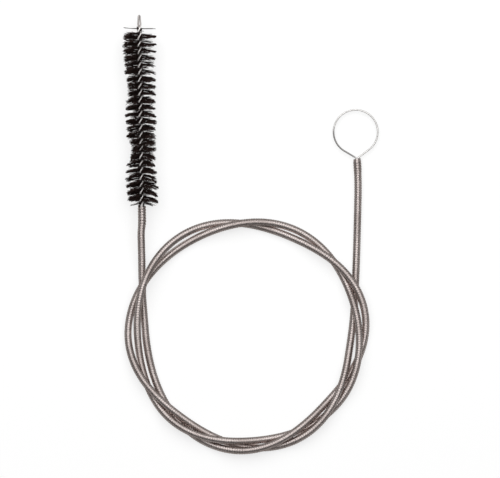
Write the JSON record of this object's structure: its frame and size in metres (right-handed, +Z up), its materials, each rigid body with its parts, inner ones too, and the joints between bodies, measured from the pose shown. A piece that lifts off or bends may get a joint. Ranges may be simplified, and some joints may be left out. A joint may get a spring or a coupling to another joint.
{
  "type": "test tube brush",
  "caption": "Flexible tube brush: black bristles on a twisted wire stem at one end of a long spring shaft that lies in a loose coil, with a wire finger ring at the other end.",
  "frame": {"origin": "midway between the brush head and the finger ring, on the surface that the brush lies on", "axes": "+Z up from the surface, +Y the way that the head's tip and the ring point, +X from the head towards the ring"},
  "size_m": [0.1598, 0.2788, 0.022],
  "materials": {
    "stem_wire": "bright drawn",
    "bristle": "nylon filament",
    "spring_steel": "drawn, slightly dull",
    "ring_wire": "bright drawn"
  },
  "bodies": {
    "root": {"core_wire": "stem_wire", "bristles": "bristle", "shaft_brush_end": "spring_steel", "shaft_coil": "spring_steel", "shaft_ring_end": "spring_steel", "finger_ring": "ring_wire"}
  },
  "joints": []
}
